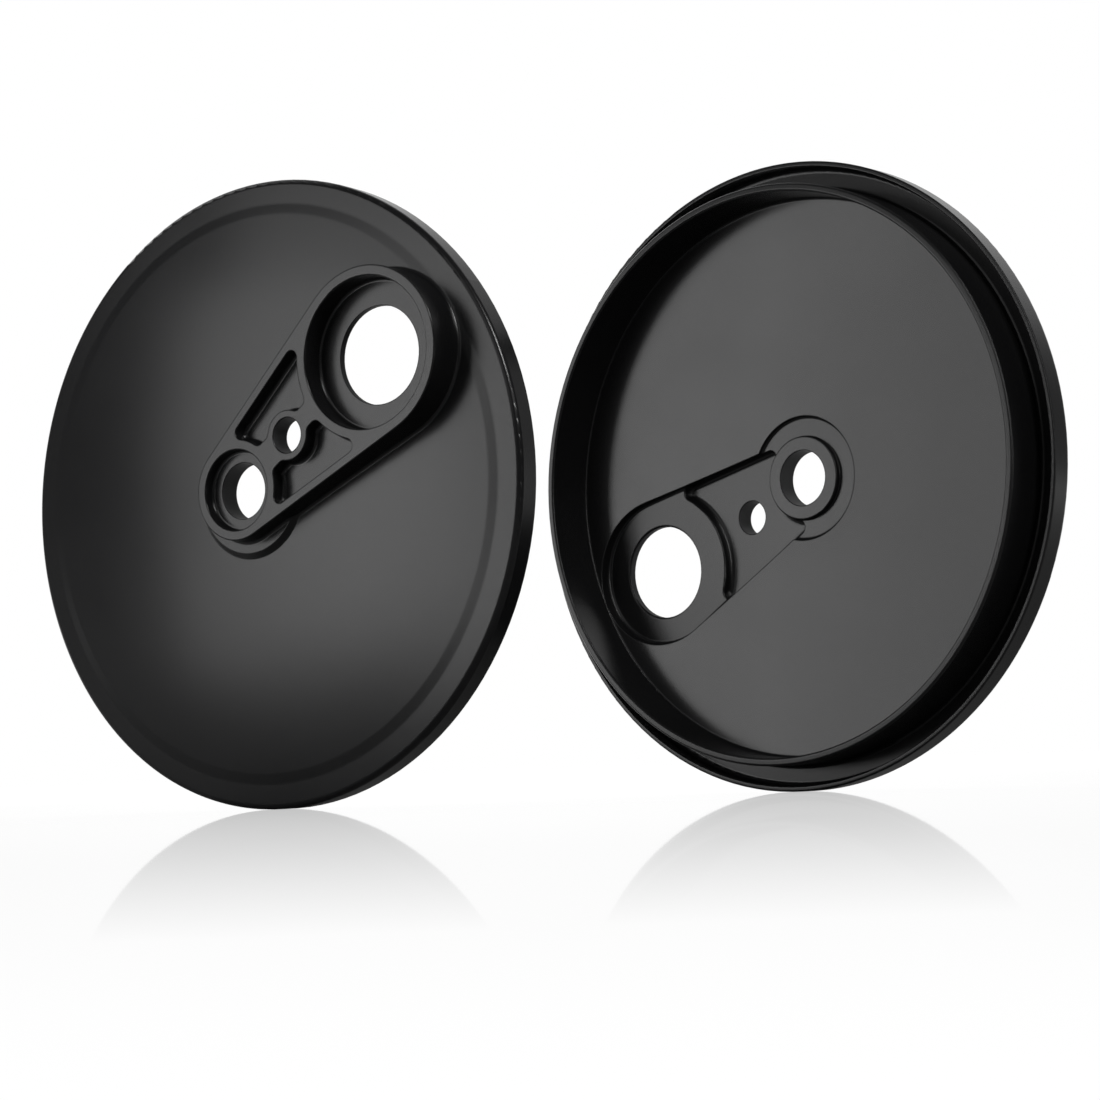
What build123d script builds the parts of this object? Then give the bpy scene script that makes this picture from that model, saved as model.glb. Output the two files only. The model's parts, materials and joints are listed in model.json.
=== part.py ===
"""A pair of identical round end covers, standing upright on their rims side by side.

Each cover is one dished piece. It is drawn in its own frame, with the axis along Z: the lip's edge lies
in the plane Z = 0, the open side faces +Z and the domed outer face looks down to -Z. The cover is then
stood on its rim twice, once with the outer face to the front and once with the open side to the front.
All sizes are millimetres.
"""
import os
from math import cos, radians, sin

from build123d import *

# Rim: a thin outer lip, a groove behind it and a taller spigot ring inside
rim_radius = 80.0
lip_wall = 1.2
lip_edge_round = 0.35
groove_depth = 5.0
groove_width = 5.4
groove_outer_round = 1.1
groove_inner_round = 0.8
spigot_wall = 2.0
spigot_height = 8.0
spigot_edge_chamfer = 0.4
spigot_foot_round = 0.5

# Shell: a slightly conical flange behind the groove, a low soft step and a shallow dome
flange_wall = 1.5
flange_edge_round = 1.4
flange_width = 6.3
flange_fall = 0.5
dome_step_width = 2.6
dome_step_height = 0.4
dome_step_round = 8.0
dome_rise = 3.8
dome_wall = 1.8

# Arm: a raised boss that joins the hub on the axis to the offset seat, with walls about its bores
arm_edge_round = 0.3
arm_foot_round = 0.8
arm_skin = 1.9
hub_boss_wall = 2.5
seat_boss_wall = 2.65
pin_boss_wall = 1.95
pin_distance = 21.0

# Bores: hub on the axis, seat at the end of the arm, pin hole between them
hub_bore_radius = 7.15
hub_counterbore_radius = 10.2
hub_counterbore_depth = 3.0
seat_bore_radius = 12.2
seat_radius = 18.75
seat_depth = 6.0
seat_floor_wall = 2.1
seat_bore_chamfer = 0.4
pin_hole_radius = 4.4
bore_floor_round = 0.7

# Outer pockets: two mirror-image recesses beside the pin boss
rib_width = 2.3
centre_rib_width = 5.6
neck_rib_width = 7.8
pocket_corner = 1.8
pocket_tip_round = 1.8
pocket_floor_round = 1.0

# Inner side: hub, round recess about it, and the hollow of the arm with a ledge under the seat
hub_rise = 0.6
hub_recess_radius = 16.0
hub_recess_depth = 0.8
hub_recess_round = 0.8
hub_edge_round = 0.3
hub_pad_margin = 0.9
hub_pad_bevel = 1.2
hub_pad_wall = 2.1
web_depth = 2.6
web_wall = 1.5
web_corner = 2.0
web_round = 1.5
seat_hollow_depth = 1.79
seat_hollow_round = 1.0
seat_ledge_width = 2.05
ledge_edge_round = 0.4
seat_to_spigot = 0.2

# The pair on the ground: the turn of each arm in its disc, and where the second cover stands
outward_arm_angle = 35.3
inward_arm_angle = -156.4
pair_step_x = 107.7
pair_step_y = 68.9
inward_turn = -7.7

# Radii and shell levels that follow from the sizes above
lip_inner_radius = rim_radius - lip_wall
spigot_radius = lip_inner_radius - groove_width
spigot_inner_radius = spigot_radius - spigot_wall
hub_boss_radius = hub_counterbore_radius + hub_boss_wall
seat_boss_radius = seat_radius + seat_boss_wall
pin_boss_radius = pin_hole_radius + pin_boss_wall
seat_distance = spigot_inner_radius - seat_to_spigot - (seat_boss_radius - arm_skin)
flange_level = -(groove_depth + flange_wall)
step_radius = rim_radius - flange_width
dome_radius = step_radius - dome_step_width
step_level = flange_level - flange_fall
dome_level = step_level - dome_step_height
dome_apex = dome_level - dome_rise
dome_curve = (dome_radius**2 + dome_rise**2) / (2 * dome_rise)
floor_curve = dome_curve - dome_wall
curve_centre = dome_apex + dome_curve


def floor_height(radius, curve):
    """Height of a spherical face of the shell at a radius from the axis."""
    return curve_centre - (curve**2 - radius**2) ** 0.5


# Levels of the inner side below the dome's floor, and of the arm's outer side behind them
floor_apex = dome_apex + dome_wall
hub_top_level = floor_apex + hub_rise
hub_recess_level = floor_apex - hub_recess_depth
web_level = floor_apex - web_depth
seat_under_level = floor_height(seat_distance, floor_curve) - seat_hollow_depth
seat_floor_level = seat_under_level - seat_floor_wall
arm_level = seat_floor_level - seat_depth
hub_floor_level = arm_level + hub_counterbore_depth
pocket_level = web_level - web_wall
pad_level = hub_recess_level - hub_pad_wall

# The shell's half section, turned about the axis
floor_edge = floor_height(spigot_inner_radius, floor_curve)
with BuildPart() as shell:
    with BuildSketch(Plane.XZ) as section:
        with BuildLine() as outline:
            dome = ThreePointArc(
                (0, dome_apex),
                (dome_radius / 2, floor_height(dome_radius / 2, dome_curve)),
                (dome_radius, dome_level),
            )
            underside = Polyline(dome @ 1, (step_radius, step_level), (rim_radius, flange_level))
            lip = Polyline(underside @ 1, (rim_radius, 0), (lip_inner_radius, 0))
            groove = Polyline(
                lip @ 1, (lip_inner_radius, -groove_depth), (spigot_radius, -groove_depth)
            )
            spigot = Polyline(
                groove @ 1,
                (spigot_radius, spigot_height),
                (spigot_inner_radius, spigot_height),
                (spigot_inner_radius, floor_edge),
            )
            floor = ThreePointArc(
                spigot @ 1,
                (dome_radius / 2, floor_height(dome_radius / 2, floor_curve)),
                (0, dome_apex + dome_wall),
            )
            Line(floor @ 1, dome @ 0)
        make_face()

        def corner(radius, height):
            """The section's corner nearest to a given radius and height."""
            return section.vertices().sort_by_distance((radius, height))[0]

        fillet(corner(dome_radius, dome_level), dome_step_round)
        fillet(corner(step_radius, step_level), dome_step_round)
        fillet(corner(rim_radius, flange_level), flange_edge_round)
        fillet(corner(rim_radius, 0), lip_edge_round)
        fillet(corner(lip_inner_radius, -groove_depth), groove_outer_round)
        fillet(corner(spigot_radius, -groove_depth), groove_inner_round)
        chamfer(corner(spigot_radius, spigot_height), spigot_edge_chamfer)
        chamfer(corner(spigot_inner_radius, spigot_height), spigot_edge_chamfer)
        fillet(corner(spigot_inner_radius, floor_edge), spigot_foot_round)
    revolve(axis=Axis.Z)


def arm_sketch(level, margin):
    """The arm's outline at a level, drawn in by a margin all round."""
    with BuildSketch(Plane.XY.offset(level)) as sketch:
        Circle(hub_boss_radius - margin)
        with Locations((seat_distance, 0)):
            Circle(seat_boss_radius - margin)
        make_hull()
    return sketch.sketch


def foot_edges(level):
    """Where the upright walls that start at an outer level run into the faces behind them."""
    walls = cover.faces().filter_by(
        lambda face: abs(face.normal_at().Z) < 0.01 and abs(face.bounding_box().min.Z - level) < 0.01
    )
    return walls.edges().filter_by(
        lambda edge: edge.bounding_box().min.Z > level + 0.01 and abs(edge.tangent_at(0.5).Z) < 0.99
    )


def edges_at(level):
    """The cover's edges that lie in one level plane."""
    return cover.edges().filter_by_position(Axis.Z, level - 0.01, level + 0.01)


def circles_at(level, radius):
    """The cover's round edges of one radius that lie in one level plane."""
    circles = edges_at(level).filter_by(GeomType.CIRCLE)
    return circles.filter_by(lambda edge: abs(edge.radius - radius) < 0.01)


# What is taken out of the inner side: the recess about the hub, and the arm's hollow, shallow under the seat
with BuildPart() as hub_recess:
    with BuildSketch(Plane.XY.offset(hub_recess_level)):
        Circle(hub_recess_radius)
    extrude(amount=-hub_recess_level)
    fillet(hub_recess.edges().group_by(Axis.Z)[0], hub_recess_round)
with BuildPart() as seat_hollow:
    with BuildSketch(Plane.XY.offset(seat_under_level)):
        add(arm_sketch(seat_under_level, arm_skin))
        with Locations((pin_distance, 0)):
            Rectangle(rim_radius, rim_radius, align=(Align.MIN, Align.CENTER), mode=Mode.INTERSECT)
    extrude(amount=-seat_under_level)
    fillet(seat_hollow.edges().group_by(Axis.Z)[0], seat_hollow_round)
with BuildPart() as web_hollow:
    with BuildSketch(Plane.XY.offset(web_level)):
        add(arm_sketch(web_level, arm_skin))
        Circle(hub_boss_radius - arm_skin, mode=Mode.SUBTRACT)
        with Locations((seat_distance, 0)):
            Circle(seat_radius + seat_ledge_width, mode=Mode.SUBTRACT)
        offset(amount=-web_corner)
        offset(amount=web_corner)
    extrude(amount=-web_level)
    fillet(web_hollow.edges().group_by(Axis.Z)[0], web_round)

with BuildPart() as cover:
    # Solid arm and hub pad, trimmed to the middle of the shell's wall so that the shell closes them
    extrude(arm_sketch(arm_level, 0), amount=-arm_level)
    with BuildSketch(Plane.XY.offset(pad_level)):
        Circle(hub_recess_radius + hub_pad_margin - hub_pad_bevel)
    extrude(amount=hub_pad_wall, taper=-45)
    with BuildSketch(Plane.XZ):
        with BuildLine():
            middle = ThreePointArc(
                (0, dome_apex + dome_wall / 2),
                (dome_radius / 2, floor_height(dome_radius / 2, dome_curve) + dome_wall / 2),
                (dome_radius, dome_level + dome_wall / 2),
            )
            Polyline(
                middle @ 1,
                (step_radius, flange_level + flange_wall / 2),
                (rim_radius, flange_level + flange_wall / 2),
                (rim_radius, arm_level),
                (0, arm_level),
                middle @ 0,
            )
        make_face()
    revolve(axis=Axis.Z, mode=Mode.INTERSECT)
    add(shell.part)
    fillet(foot_edges(arm_level), arm_foot_round)

    # Outer pockets: the arm's face inside its side ribs, less the bosses and the centre ribs
    with BuildSketch(Plane.XY.offset(arm_level)) as pockets:
        add(arm_sketch(arm_level, rib_width))
        Circle(hub_boss_radius, mode=Mode.SUBTRACT)
        Rectangle(pin_distance, neck_rib_width, align=(Align.MIN, Align.CENTER), mode=Mode.SUBTRACT)
        with Locations((seat_distance, 0)):
            Circle(seat_boss_radius, mode=Mode.SUBTRACT)
        with Locations((pin_distance, 0)):
            Circle(pin_boss_radius, mode=Mode.SUBTRACT)
            Rectangle(
                seat_distance - pin_distance,
                centre_rib_width,
                align=(Align.MIN, Align.CENTER),
                mode=Mode.SUBTRACT,
            )
        fillet(pockets.vertices().sort_by(Axis.Y)[1:-1], pocket_corner)
        fillet(pockets.vertices().sort_by(Axis.Y)[:: len(pockets.vertices()) - 1], pocket_tip_round)
    extrude(amount=pocket_level - arm_level, mode=Mode.SUBTRACT)
    fillet(edges_at(pocket_level), pocket_floor_round)

    # Inner side: a round recess about the hub, then the hollow of the arm, shallow under the seat
    add(hub_recess.part, mode=Mode.SUBTRACT)
    with BuildSketch(Plane.XY.offset(hub_top_level)):
        Circle(hub_boss_radius - arm_skin)
    extrude(amount=hub_recess_level - hub_top_level)
    add(seat_hollow.part, mode=Mode.SUBTRACT)
    add(web_hollow.part, mode=Mode.SUBTRACT)
    fillet(circles_at(hub_top_level, hub_boss_radius - arm_skin), hub_edge_round)
    fillet(circles_at(seat_under_level, seat_radius + seat_ledge_width), ledge_edge_round)

    # Bores from the arm's face: hub and seat with counterbores, pin hole between them
    with Locations(Plane(origin=(0, 0, arm_level), x_dir=(1, 0, 0), z_dir=(0, 0, -1))):
        CounterBoreHole(hub_bore_radius, hub_counterbore_radius, hub_counterbore_depth)
        with Locations((seat_distance, 0)):
            CounterBoreHole(seat_bore_radius, seat_radius, seat_depth)
        with Locations((pin_distance, 0)):
            Hole(pin_hole_radius)
    fillet(edges_at(arm_level), arm_edge_round)
    fillet(circles_at(seat_floor_level, seat_radius), bore_floor_round)
    fillet(circles_at(hub_floor_level, hub_counterbore_radius), bore_floor_round)
    chamfer(circles_at(seat_under_level, seat_bore_radius), seat_bore_chamfer)

# Both covers on their rims: the first with its outer face to the front, the second with its open side
outward_arm = radians(outward_arm_angle)
outward_place = Plane(
    origin=(0, 0, rim_radius),
    x_dir=(cos(outward_arm), 0, sin(outward_arm)),
    z_dir=(0, 1, 0),
)
inward_arm = radians(inward_arm_angle)
turn = radians(inward_turn)
inward_place = Plane(
    origin=(pair_step_x, pair_step_y, rim_radius),
    x_dir=(cos(inward_arm) * cos(turn), cos(inward_arm) * sin(turn), sin(inward_arm)),
    z_dir=(sin(turn), -cos(turn), 0),
)

# The pair's middle on the ground is the origin
pair = Compound([place.location * cover.part for place in (outward_place, inward_place)])
middle = pair.bounding_box().center()
to_middle = Location((-middle.X, -middle.Y, 0))
with BuildPart() as left_cover:
    with Locations(to_middle * outward_place.location):
        add(cover.part)
with BuildPart() as right_cover:
    with Locations(to_middle * inward_place.location):
        add(cover.part)

os.makedirs("parts", exist_ok=True)
left_cover.part.label = "left_cover"
right_cover.part.label = "right_cover"
export_step(left_cover.part, "parts/left_cover.step")
export_step(right_cover.part, "parts/right_cover.step")
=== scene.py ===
"""A pair of identical satin black end covers, standing upright on their rims on a polished pale floor.

The first cover shows its domed outer face with the arm, the second its open inner side. The script
follows the set-up as it is put together: the two covers, the floor that they stand on, the studio
round them and the camera. All lengths in the scene are metres.
"""
import json
from math import cos, pi, radians, sin

import bmesh
import bpy
from mathutils import Matrix, Vector


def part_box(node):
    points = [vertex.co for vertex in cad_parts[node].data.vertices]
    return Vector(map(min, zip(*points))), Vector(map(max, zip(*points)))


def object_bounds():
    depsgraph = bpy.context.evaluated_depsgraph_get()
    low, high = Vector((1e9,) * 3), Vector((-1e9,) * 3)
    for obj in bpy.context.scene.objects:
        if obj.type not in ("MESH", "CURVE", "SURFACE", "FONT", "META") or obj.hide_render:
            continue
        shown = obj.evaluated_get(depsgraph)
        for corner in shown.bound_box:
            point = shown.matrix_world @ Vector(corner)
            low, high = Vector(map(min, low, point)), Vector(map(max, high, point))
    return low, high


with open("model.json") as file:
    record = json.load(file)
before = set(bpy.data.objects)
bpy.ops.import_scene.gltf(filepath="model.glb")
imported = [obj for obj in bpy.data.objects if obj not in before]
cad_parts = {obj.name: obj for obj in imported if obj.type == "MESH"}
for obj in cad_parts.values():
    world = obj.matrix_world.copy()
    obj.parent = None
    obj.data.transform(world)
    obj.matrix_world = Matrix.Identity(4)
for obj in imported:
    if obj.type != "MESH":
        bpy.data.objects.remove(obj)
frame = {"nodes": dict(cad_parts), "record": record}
cad_low, cad_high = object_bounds()

# ---------------------------------------------------------------------------------------------------
# Covers: each is one injection moulding in satin black, glass-filled nylon, and its shape is the CAD
# node's own. The mould was lightly blasted, which gives a soft sheen and a fine grain. The hub bore,
# the pin hole and the bore through the seat were reamed afterwards, which leaves them paler and dull.
mm = 0.001
skin_colour = "#161617"
skin_worn_colour = "#1c1c1d"
skin_roughness = 0.25
skin_roughness_spread = 0.01
nylon_ior = 1.5
# The plastic's flow through the mould shows as broad, very faint clouds.
flow_size = 30 * mm
flow_detail = 3.0
flow_raggedness = 0.55
flow_range = (0.3, 0.7)
# The real grain and the real reaming marks are about 0.05 mm wide. Both are drawn coarser, to show.
grain_size = 0.5 * mm
grain_detail = 2.0
grain_share = 0.35
ring_pitch = 0.45 * mm
relief_strength = 0.2
relief_depth = 0.02 * mm
# Every edge leaves the mould a little eased, which the shading rounds off.
edge_ease = 0.45 * mm
edge_samples = 8
# The reamed finish reaches a little past each bore's radius, so that it takes in the whole wall.
reamed_colour = "#303031"
reamed_roughness = 0.6
reamed_bores = ("hub_bore", "pin_hole", "seat_bore")
reamed_reach = 1.004


def linear(colour):
    """An sRGB hex colour as the linear RGBA that a shader reads."""
    channels = [int(colour[i : i + 2], 16) / 255 for i in (1, 3, 5)]
    return [c / 12.92 if c <= 0.04045 else ((c + 0.055) / 1.055) ** 2.4 for c in channels] + [1]


def add(tree, kind, settings=None, **inputs):
    """One node of that kind with its settings, and its inputs by name, or by number as in_0, in_1.

    An input is given a value, or the socket to link it to.
    """
    node = tree.nodes.new(kind)
    for name, value in (settings or {}).items():
        setattr(node, name, value)
    for name, value in inputs.items():
        key = int(name[3:]) if name.startswith("in_") else name.replace("_", " ")
        if isinstance(value, bpy.types.NodeSocket):
            tree.links.new(value, node.inputs[key])
        else:
            node.inputs[key].default_value = value
    return node


def bore_mask(tree, place, bore):
    """Two sockets for a bore of the record: 1 inside its cylinder and 0 outside, and the way along it."""
    turn = Vector(bore["axis"]).to_track_quat("Z", "Y").to_euler()
    in_bore = add(
        tree,
        "ShaderNodeMapping",
        {"vector_type": "TEXTURE"},
        Vector=place,
        Location=bore["pos_m"],
        Rotation=turn,
    )
    split = add(tree, "ShaderNodeSeparateXYZ", Vector=in_bore.outputs["Vector"])
    across = add(tree, "ShaderNodeCombineXYZ", X=split.outputs["X"], Y=split.outputs["Y"])
    radius = add(tree, "ShaderNodeVectorMath", {"operation": "LENGTH"}, Vector=across.outputs["Vector"])
    within = add(
        tree,
        "ShaderNodeMath",
        {"operation": "LESS_THAN"},
        in_0=radius.outputs["Value"],
        in_1=bore["dims"]["r_mm"] * mm * reamed_reach,
    )
    return within.outputs["Value"], split.outputs["Z"]


def moulded_black(name, bores):
    """Satin black moulded nylon: a soft even sheen, faint clouds, eased edges and dull reamed bores."""
    material = bpy.data.materials.new(name)
    material.use_nodes = True
    tree = material.node_tree
    tree.nodes.clear()
    place = add(tree, "ShaderNodeTexCoord").outputs["Object"]

    flow = add(
        tree,
        "ShaderNodeTexNoise",
        Vector=place,
        Scale=1 / flow_size,
        Detail=flow_detail,
        Roughness=flow_raggedness,
    )
    grain = add(tree, "ShaderNodeTexNoise", Vector=place, Scale=1 / grain_size, Detail=grain_detail)
    colour = add(
        tree,
        "ShaderNodeMix",
        {"data_type": "RGBA"},
        in_0=flow.outputs["Fac"],
        in_6=linear(skin_colour),
        in_7=linear(skin_worn_colour),
    ).outputs[2]
    roughness = add(
        tree,
        "ShaderNodeMapRange",
        Value=flow.outputs["Fac"],
        From_Min=flow_range[0],
        From_Max=flow_range[1],
        To_Min=skin_roughness - skin_roughness_spread,
        To_Max=skin_roughness + skin_roughness_spread,
    ).outputs["Result"]
    height = add(
        tree,
        "ShaderNodeMath",
        {"operation": "MULTIPLY"},
        in_0=grain.outputs["Fac"],
        in_1=grain_share,
    ).outputs["Value"]

    for bore in bores:
        inside, along = bore_mask(tree, place, bore)
        rings = add(
            tree, "ShaderNodeMath", {"operation": "MULTIPLY"}, in_0=along, in_1=2 * pi / ring_pitch
        )
        wave = add(tree, "ShaderNodeMath", {"operation": "SINE"}, in_0=rings.outputs["Value"])
        colour = add(
            tree,
            "ShaderNodeMix",
            {"data_type": "RGBA"},
            in_0=inside,
            in_6=colour,
            in_7=linear(reamed_colour),
        ).outputs[2]
        roughness = add(
            tree, "ShaderNodeMix", in_0=inside, in_2=roughness, in_3=reamed_roughness
        ).outputs[0]
        height = add(
            tree, "ShaderNodeMix", in_0=inside, in_2=height, in_3=wave.outputs["Value"]
        ).outputs[0]

    eased = add(tree, "ShaderNodeBevel", {"samples": edge_samples}, Radius=edge_ease)
    relief = add(
        tree,
        "ShaderNodeBump",
        Strength=relief_strength,
        Distance=relief_depth,
        Height=height,
        Normal=eased.outputs["Normal"],
    )
    skin = add(
        tree,
        "ShaderNodeBsdfPrincipled",
        Base_Color=colour,
        Roughness=roughness,
        IOR=nylon_ior,
        Normal=relief.outputs["Normal"],
    )
    add(tree, "ShaderNodeOutputMaterial", Surface=skin.outputs["BSDF"])
    return material


mounts = frame["record"]["mounts"]
for side in ("left", "right"):
    cover = frame["nodes"][f"{side}_cover"]
    bores = [m for m in mounts if m["name"] in [f"{side}_{b}" for b in reamed_bores]]
    skin = moulded_black(f"{side}_moulded_black_nylon", bores)
    cover.data.materials.clear()
    cover.data.materials.append(skin)

# ---------------------------------------------------------------------------------------------------
# Floor: a plain white acrylic sheet, polished. It shows white, keeps the covers' soft shadow, and gives
# back a faint mirror image that dies away towards the stage's near line, from which its depths are
# measured. What the covers see of it is a matt sheet that glows where it runs to the back of the stage, a
# painted light in place of a lit sweep.
front_azimuth = radians(34.62)
near_line = 661.39 * mm
floor_reach = 6.0
acrylic_ior = 1.45
acrylic_roughness = 0.02
acrylic_colour = "#e8e8e7"
# Near the pair a part of the white is left to the room's light, which the covers shade.
shadow_depth = 0.1
shadow_reach = (0.35, 0.75)
lit_share = 0.2
mirror_most = 0.54
mirror_end = 0.14
glow_reach = (0.68, 1.0)
glow_strength = 0.75

middle = (cad_low + cad_high) / 2
front = Vector((sin(front_azimuth), -cos(front_azimuth), 0))
near_point = Vector((middle.x, middle.y, 0)) + front * near_line

floor_mesh = bmesh.new()
bmesh.ops.create_circle(floor_mesh, cap_ends=True, segments=64, radius=floor_reach)
floor_data = bpy.data.meshes.new("floor")
floor_mesh.to_mesh(floor_data)
floor_mesh.free()
floor = bpy.data.objects.new("floor", floor_data)
bpy.context.scene.collection.objects.link(floor)

acrylic = bpy.data.materials.new("polished_white_acrylic")
acrylic.use_nodes = True
tree = acrylic.node_tree
tree.nodes.clear()
light_path = add(tree, "ShaderNodeLightPath")
floor_place = add(tree, "ShaderNodeTexCoord").outputs["Object"]
from_near_point = add(
    tree, "ShaderNodeVectorMath", {"operation": "SUBTRACT"}, in_0=floor_place, in_1=near_point
)
depth = add(
    tree,
    "ShaderNodeVectorMath",
    {"operation": "DOT_PRODUCT"},
    in_0=from_near_point.outputs["Vector"],
    in_1=-front,
)

# The mirror image, which grows with the depth and at a grazing look.
lost = add(tree, "ShaderNodeMath", {"operation": "DIVIDE"}, in_0=mirror_end, in_1=depth.outputs["Value"])
kept = add(
    tree,
    "ShaderNodeMath",
    {"operation": "SUBTRACT", "use_clamp": True},
    in_0=1.0,
    in_1=lost.outputs["Value"],
)
grazing = add(tree, "ShaderNodeFresnel", IOR=acrylic_ior)
mirrored = add(
    tree,
    "ShaderNodeMath",
    {"operation": "MULTIPLY"},
    in_0=kept.outputs["Value"],
    in_1=grazing.outputs["Fac"],
)
mirror_share = add(
    tree,
    "ShaderNodeMath",
    {"operation": "MULTIPLY"},
    in_0=mirrored.outputs["Value"],
    in_1=mirror_most,
)
mirror = add(tree, "ShaderNodeBsdfAnisotropic", Color=(1, 1, 1, 1), Roughness=acrylic_roughness)

# The sheet's white, and the room's light on it.
away = add(tree, "ShaderNodeVectorMath", {"operation": "LENGTH"}, in_0=floor_place)
near_pair = add(
    tree,
    "ShaderNodeMapRange",
    {"interpolation_type": "SMOOTHSTEP"},
    Value=away.outputs["Value"],
    From_Min=shadow_reach[0],
    From_Max=shadow_reach[1],
    To_Min=1.0,
    To_Max=0.0,
)
whiteness = add(
    tree,
    "ShaderNodeMapRange",
    Value=near_pair.outputs["Result"],
    To_Min=1.0,
    To_Max=1.0 - shadow_depth,
)
white = add(tree, "ShaderNodeEmission", Color=(1, 1, 1, 1), Strength=whiteness.outputs["Result"])
lit = add(tree, "ShaderNodeBsdfDiffuse", Color=(lit_share, lit_share, lit_share, 1))
sheet = add(tree, "ShaderNodeAddShader", in_0=white.outputs[0], in_1=lit.outputs[0])
seen = add(
    tree,
    "ShaderNodeMixShader",
    Fac=mirror_share.outputs[0],
    in_1=sheet.outputs[0],
    in_2=mirror.outputs[0],
)

# What the covers see: the matt sheet, with a painted glow at its back that stands in for a lit stretch.
matt = add(tree, "ShaderNodeBsdfDiffuse", Color=linear(acrylic_colour))
glowing = add(
    tree,
    "ShaderNodeMapRange",
    Value=depth.outputs["Value"],
    From_Min=glow_reach[0],
    From_Max=glow_reach[1],
    To_Min=0.0,
    To_Max=glow_strength,
)
glow = add(tree, "ShaderNodeEmission", Color=(1, 1, 1, 1), Strength=glowing.outputs["Result"])
around = add(tree, "ShaderNodeAddShader", in_0=matt.outputs[0], in_1=glow.outputs[0])
surface = add(
    tree,
    "ShaderNodeMixShader",
    Fac=light_path.outputs["Is Camera Ray"],
    in_1=around.outputs[0],
    in_2=seen.outputs[0],
)
add(tree, "ShaderNodeOutputMaterial", Surface=surface.outputs[0])
floor_data.materials.append(acrylic)

# ---------------------------------------------------------------------------------------------------
# Studio: softboxes and panels on stands, each flagged so that it lights one cover alone and the other
# doesn't shade it. In front, a broad box with smaller ones about it lays the sheen over each face. At
# the sides and behind, a spot, a strip and dim panels draw the rims, the walls and the backs.
softboxes = (
    # name, cover, azimuth and elevation in degrees, distance, width and height, radiance
    ("outer_face_softbox", "left_cover", -29, 7.5, 0.40, 0.29, 0.245, 1.95),
    ("outer_face_key", "left_cover", -26, 3, 0.40, 0.15, 0.17, 0.6),
    ("outer_face_top", "left_cover", -27, 29, 0.40, 0.22, 0.08, 1.25),
    ("outer_face_low", "left_cover", -28, -17, 0.40, 0.24, 0.09, 1.8),
    ("outer_face_fill", "left_cover", 14, 34, 0.40, 0.26, 0.26, 0.4),
    ("outer_edge_spot", "left_cover", 75, 40, 1.0, 0.22, 0.22, 17.0),
    ("outer_wall_panel", "left_cover", 147, 8, 0.8, 0.45, 0.6, 0.25),
    ("outer_back_panel", "left_cover", 126, -8, 0.8, 0.30, 0.45, 0.6),
    ("inner_face_softbox", "right_cover", -54, 4, 0.50, 0.24, 0.23, 1.9),
    ("inner_face_key", "right_cover", -41, 5, 1.5, 0.18, 0.22, 3.2),
    ("inner_face_side", "right_cover", -27, 2, 0.50, 0.23, 0.40, 0.5),
    ("inner_face_fill", "right_cover", 5, 35, 0.50, 0.46, 0.29, 0.4),
    ("inner_edge_strip", "right_cover", 60, 32, 0.9, 0.12, 1.0, 5.0),
    ("inner_wall_panel", "right_cover", 168, 34, 0.8, 0.5, 0.4, 0.4),
    ("inner_back_panel", "right_cover", 114, -8, 0.8, 0.30, 0.45, 0.7),
)
for name, cover_name, azimuth, elevation, distance, width, height, radiance in softboxes:
    lamp = bpy.data.lights.new(name, "AREA")
    lamp.shape = "RECTANGLE"
    lamp.size = width
    lamp.size_y = height
    lamp.energy = radiance * pi * width * height
    box = bpy.data.objects.new(name, lamp)
    aimed_at = sum(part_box(cover_name), Vector()) / 2
    turn = Matrix.Rotation(radians(azimuth), 4, "Z") @ Matrix.Rotation(radians(90 - elevation), 4, "X")
    box.matrix_world = Matrix.Translation(aimed_at) @ turn @ Matrix.Translation((0, 0, distance))
    box.visible_camera = False
    bpy.context.scene.collection.objects.link(box)
    lit_alone = bpy.data.collections.new(f"{name}_on")
    lit_alone.objects.link(frame["nodes"][cover_name])
    box.light_linking.receiver_collection = lit_alone
    box.light_linking.blocker_collection = lit_alone

# The room is dim in front and at the sides, and brightens to a white backdrop at the back of the
# stage. Where it shows past the floor it is plain white all round.
room_strength = 0.06
backdrop_strength = 1.1
backdrop_narrowing = 2.0

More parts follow.
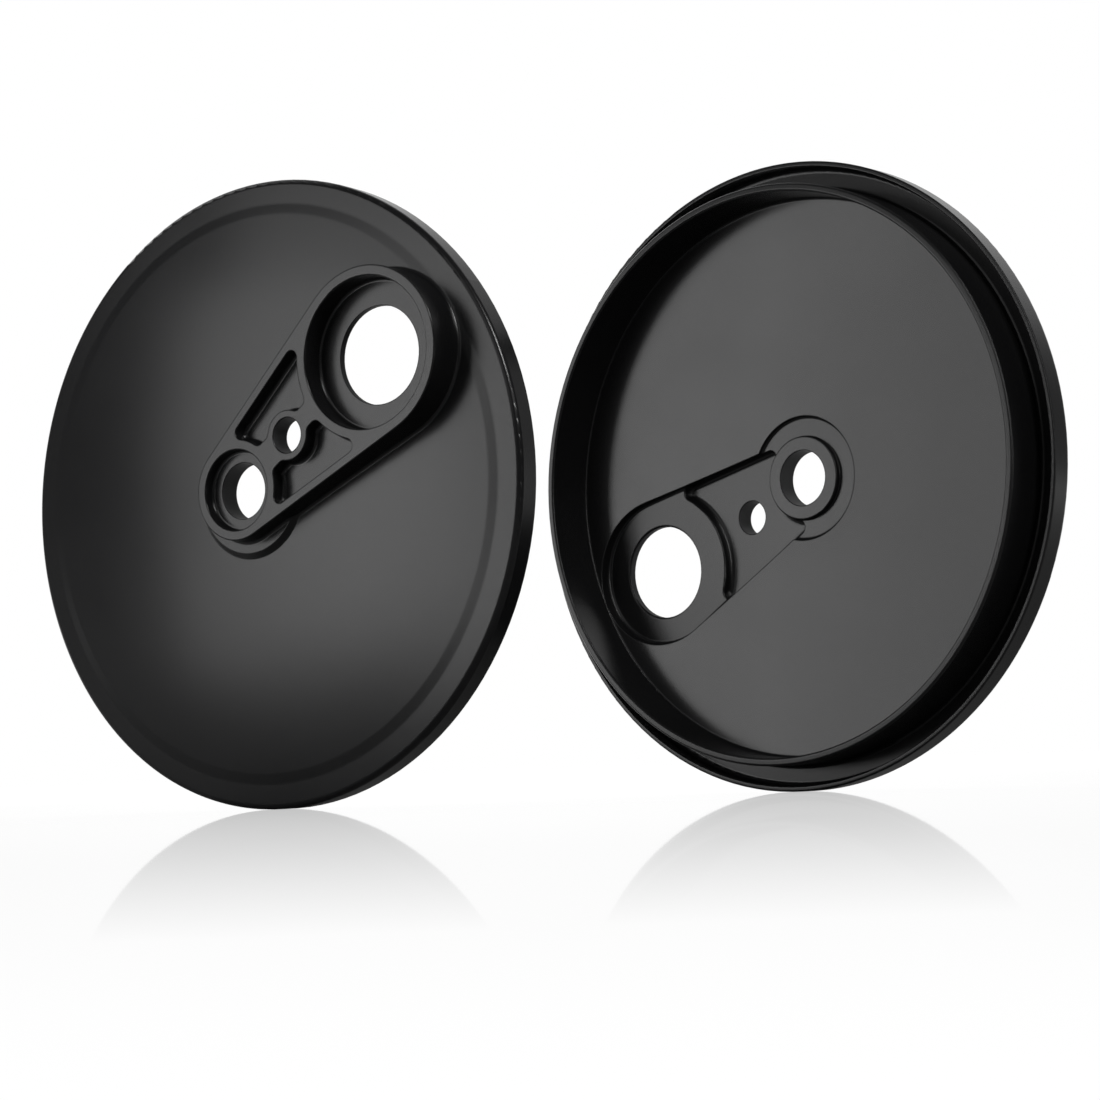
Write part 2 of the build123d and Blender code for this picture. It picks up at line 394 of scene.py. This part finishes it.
world = bpy.data.worlds.new("studio")
bpy.context.scene.world = world
world.use_nodes = True
tree = world.node_tree
tree.nodes.clear()
light_path = add(tree, "ShaderNodeLightPath")
direction = add(tree, "ShaderNodeTexCoord").outputs["Generated"]
behind = add(tree, "ShaderNodeVectorMath", {"operation": "DOT_PRODUCT"}, in_0=direction, in_1=-front)
behind_only = add(
    tree, "ShaderNodeMath", {"operation": "MAXIMUM"}, in_0=behind.outputs["Value"], in_1=0.0
)
squarely_behind = add(
    tree,
    "ShaderNodeMath",
    {"operation": "POWER"},
    in_0=behind_only.outputs["Value"],
    in_1=backdrop_narrowing,
)
backdrop = add(
    tree,
    "ShaderNodeMapRange",
    Value=squarely_behind.outputs["Value"],
    To_Min=room_strength,
    To_Max=backdrop_strength,
)
strength = add(
    tree,
    "ShaderNodeMix",
    in_0=light_path.outputs["Is Camera Ray"],
    in_2=backdrop.outputs["Result"],
    in_3=1.0,
)
sky = add(tree, "ShaderNodeBackground", Color=(1, 1, 1, 1), Strength=strength.outputs[0])
add(tree, "ShaderNodeOutputWorld", Surface=sky.outputs[0])
bpy.context.scene.view_settings.view_transform = "Standard"

# ---------------------------------------------------------------------------------------------------
# Camera: on the stage's front, to the right of the first cover's axis, so that both the outer face and
# the open side show three quarters on. It stands just above the floor and looks up a little, tilted.
camera_elevation = radians(-4.75)
camera_roll = radians(-1.94)
camera_distance = 663.55 * mm
aim_past_middle = Vector((2.87, 0.18, 0)) * mm
aim_below_middle = 16.48 * mm
sensor_width = 36.0
lens_length = 84.92
clip_near = 0.01
clip_far = 50

stance = (
    Matrix.Rotation(front_azimuth, 3, "Z")
    @ Matrix.Rotation(radians(90) - camera_elevation, 3, "X")
    @ Matrix.Rotation(camera_roll, 3, "Z")
)
aim = middle + aim_past_middle - stance @ Vector((0, aim_below_middle, 0))
camera_place = aim + stance @ Vector((0, 0, camera_distance))
camera = bpy.data.objects.new("camera", bpy.data.cameras.new("camera"))
camera.matrix_world = Matrix.Translation(camera_place) @ stance.to_4x4()
camera.data.sensor_width = sensor_width
camera.data.lens = lens_length
camera.data.clip_start = clip_near
camera.data.clip_end = clip_far
bpy.context.scene.collection.objects.link(camera)
bpy.context.scene.camera = camera
